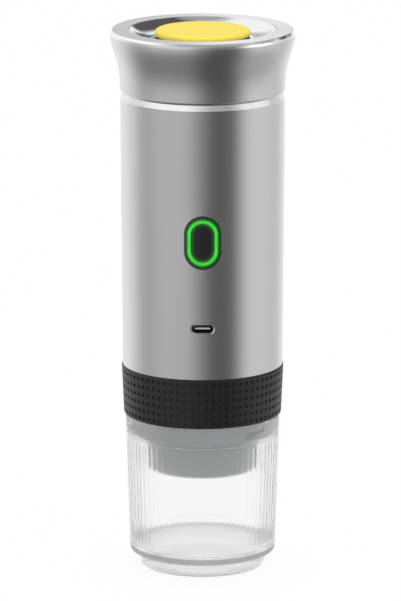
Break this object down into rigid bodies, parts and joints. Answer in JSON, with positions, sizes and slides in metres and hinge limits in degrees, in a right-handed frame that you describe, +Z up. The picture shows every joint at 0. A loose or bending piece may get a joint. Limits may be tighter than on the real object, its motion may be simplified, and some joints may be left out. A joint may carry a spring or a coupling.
{
  "type": "portable electric espresso maker",
  "caption": "Bottle-shaped battery espresso maker: clear screw-on cup, dimpled grip ring, satin metal sleeve with lit button and charging socket, flared screw lid with yellow vent plug.",
  "frame": {"origin": "centre of the cup's foot, on the surface that the object stands on", "axes": "+Z up along the object's axis, -Y towards the front with the button and the charging socket, +X to the right seen from the front"},
  "size_m": [0.0808, 0.0808, 0.24],
  "materials": {
    "clear_plastic": "clear, polished",
    "silicone": "matte",
    "grey_plastic": "fine matte",
    "grip_rubber": "matte, dimpled",
    "steel": "drawn",
    "black_plastic": "matte",
    "black_gloss": "gloss",
    "brass": "machined",
    "magnet": "sintered",
    "copper": "wound wire",
    "cell_wrap": null,
    "board": "solder mask",
    "led": "clear",
    "green_light": "translucent, lit",
    "heater_film": "film",
    "satin_metal": "satin brushed",
    "polished_metal": "polished",
    "yellow_silicone": "matte"
  },
  "bodies": {
    "cup": {"cup": "clear_plastic"},
    "cup_seal": {"cup_gasket": "silicone"},
    "base": {"base_body": "grey_plastic", "grip_ring": "grip_rubber", "outlet_nozzle": "steel", "filter_basket": "steel"},
    "brew_seal": {"brew_gasket": "silicone"},
    "main": {"brew_head": "grey_plastic", "shower_screen": "steel", "screen_screw": "steel", "chassis": "black_plastic", "chassis_screws": "steel", "outlet_hose": "silicone", "pump_cover": "black_plastic", "pump_housing": "black_plastic", "pump_screws": "steel", "motor_can": "steel", "motor_magnets": "magnet", "motor_end": "grey_plastic", "battery_cells": "cell_wrap", "cell_links": "steel", "control_board": "board", "board_screws": "steel", "usb_socket": "steel", "tact_switch": "black_plastic", "leds": "led", "button_bezel": "black_gloss", "light_ring": "green_light", "inlet_hose": "silicone", "tank": "steel", "heater_band": "heater_film", "thermostat": "steel", "tank_gasket": "silicone", "tank_collar": "grey_plastic", "body_shell": "satin_metal", "trim_ring": "polished_metal"},
    "lid_seal": {"lid_gasket": "silicone"},
    "lid": {"lid_liner": "grey_plastic", "lid_screws": "steel", "vent_valve": "silicone", "lid_shell": "satin_metal", "lid_dish": "polished_metal"},
    "plug": {"vent_plug": "yellow_silicone"},
    "button": {"button_cap": "black_gloss"},
    "pump_drive": {"motor_rotor": "copper", "drive_gear": "brass"},
    "pump_idler": {"idler_gear": "brass"}
  },
  "joints": [
    {"name": "cup_lift", "type": "slide", "parent": "cup", "child": "cup_seal", "axis": [0, 0, 1], "range_m": [0, 0.027]},
    {"name": "cup_turn", "type": "hinge", "parent": "cup_seal", "child": "base", "pos_m": [0, 0, 0.0692], "axis": [0, 0, 1], "range_deg": [0, 538]},
    {"name": "head_lift", "type": "slide", "parent": "base", "child": "brew_seal", "axis": [0, 0, 1], "range_m": [0, 0.012]},
    {"name": "head_turn", "type": "hinge", "parent": "brew_seal", "child": "main", "pos_m": [0, 0, 0.0805], "axis": [0, 0, 1], "range_deg": [0, 359]},
    {"name": "lid_lift", "type": "slide", "parent": "main", "child": "lid_seal", "axis": [0, 0, 1], "range_m": [0, 0.012]},
    {"name": "lid_turn", "type": "hinge", "parent": "lid_seal", "child": "lid", "pos_m": [0, 0, 0.2141], "axis": [0, 0, 1], "range_deg": [0, 359]},
    {"name": "vent_pull", "type": "slide", "parent": "lid", "child": "plug", "axis": [0, 0, 1], "range_m": [0, 0.01]},
    {"name": "button_press", "type": "slide", "parent": "main", "child": "button", "axis": [0, 1, 0], "range_m": [0, 0.0008], "stiffness_N_per_m": 800, "springref_m": -0.0005},
    {"name": "rotor_spin", "type": "hinge", "parent": "main", "child": "pump_drive", "pos_m": [0, 0, 0.112], "axis": [0, 0, 1], "continuous": true},
    {"name": "idler_spin", "type": "hinge", "parent": "main", "child": "pump_idler", "pos_m": [0, -0.0121, 0.112], "axis": [0, 0, 1], "continuous": true}
  ],
  "couplings": [
    {"joint": "cup_lift", "follows": "cup_turn", "m_per_rad": 0.0028648},
    {"joint": "head_lift", "follows": "head_turn", "m_per_rad": 0.0019099},
    {"joint": "lid_lift", "follows": "lid_turn", "m_per_rad": 0.0019099},
    {"joint": "idler_spin", "follows": "rotor_spin", "ratio": -1}
  ]
}
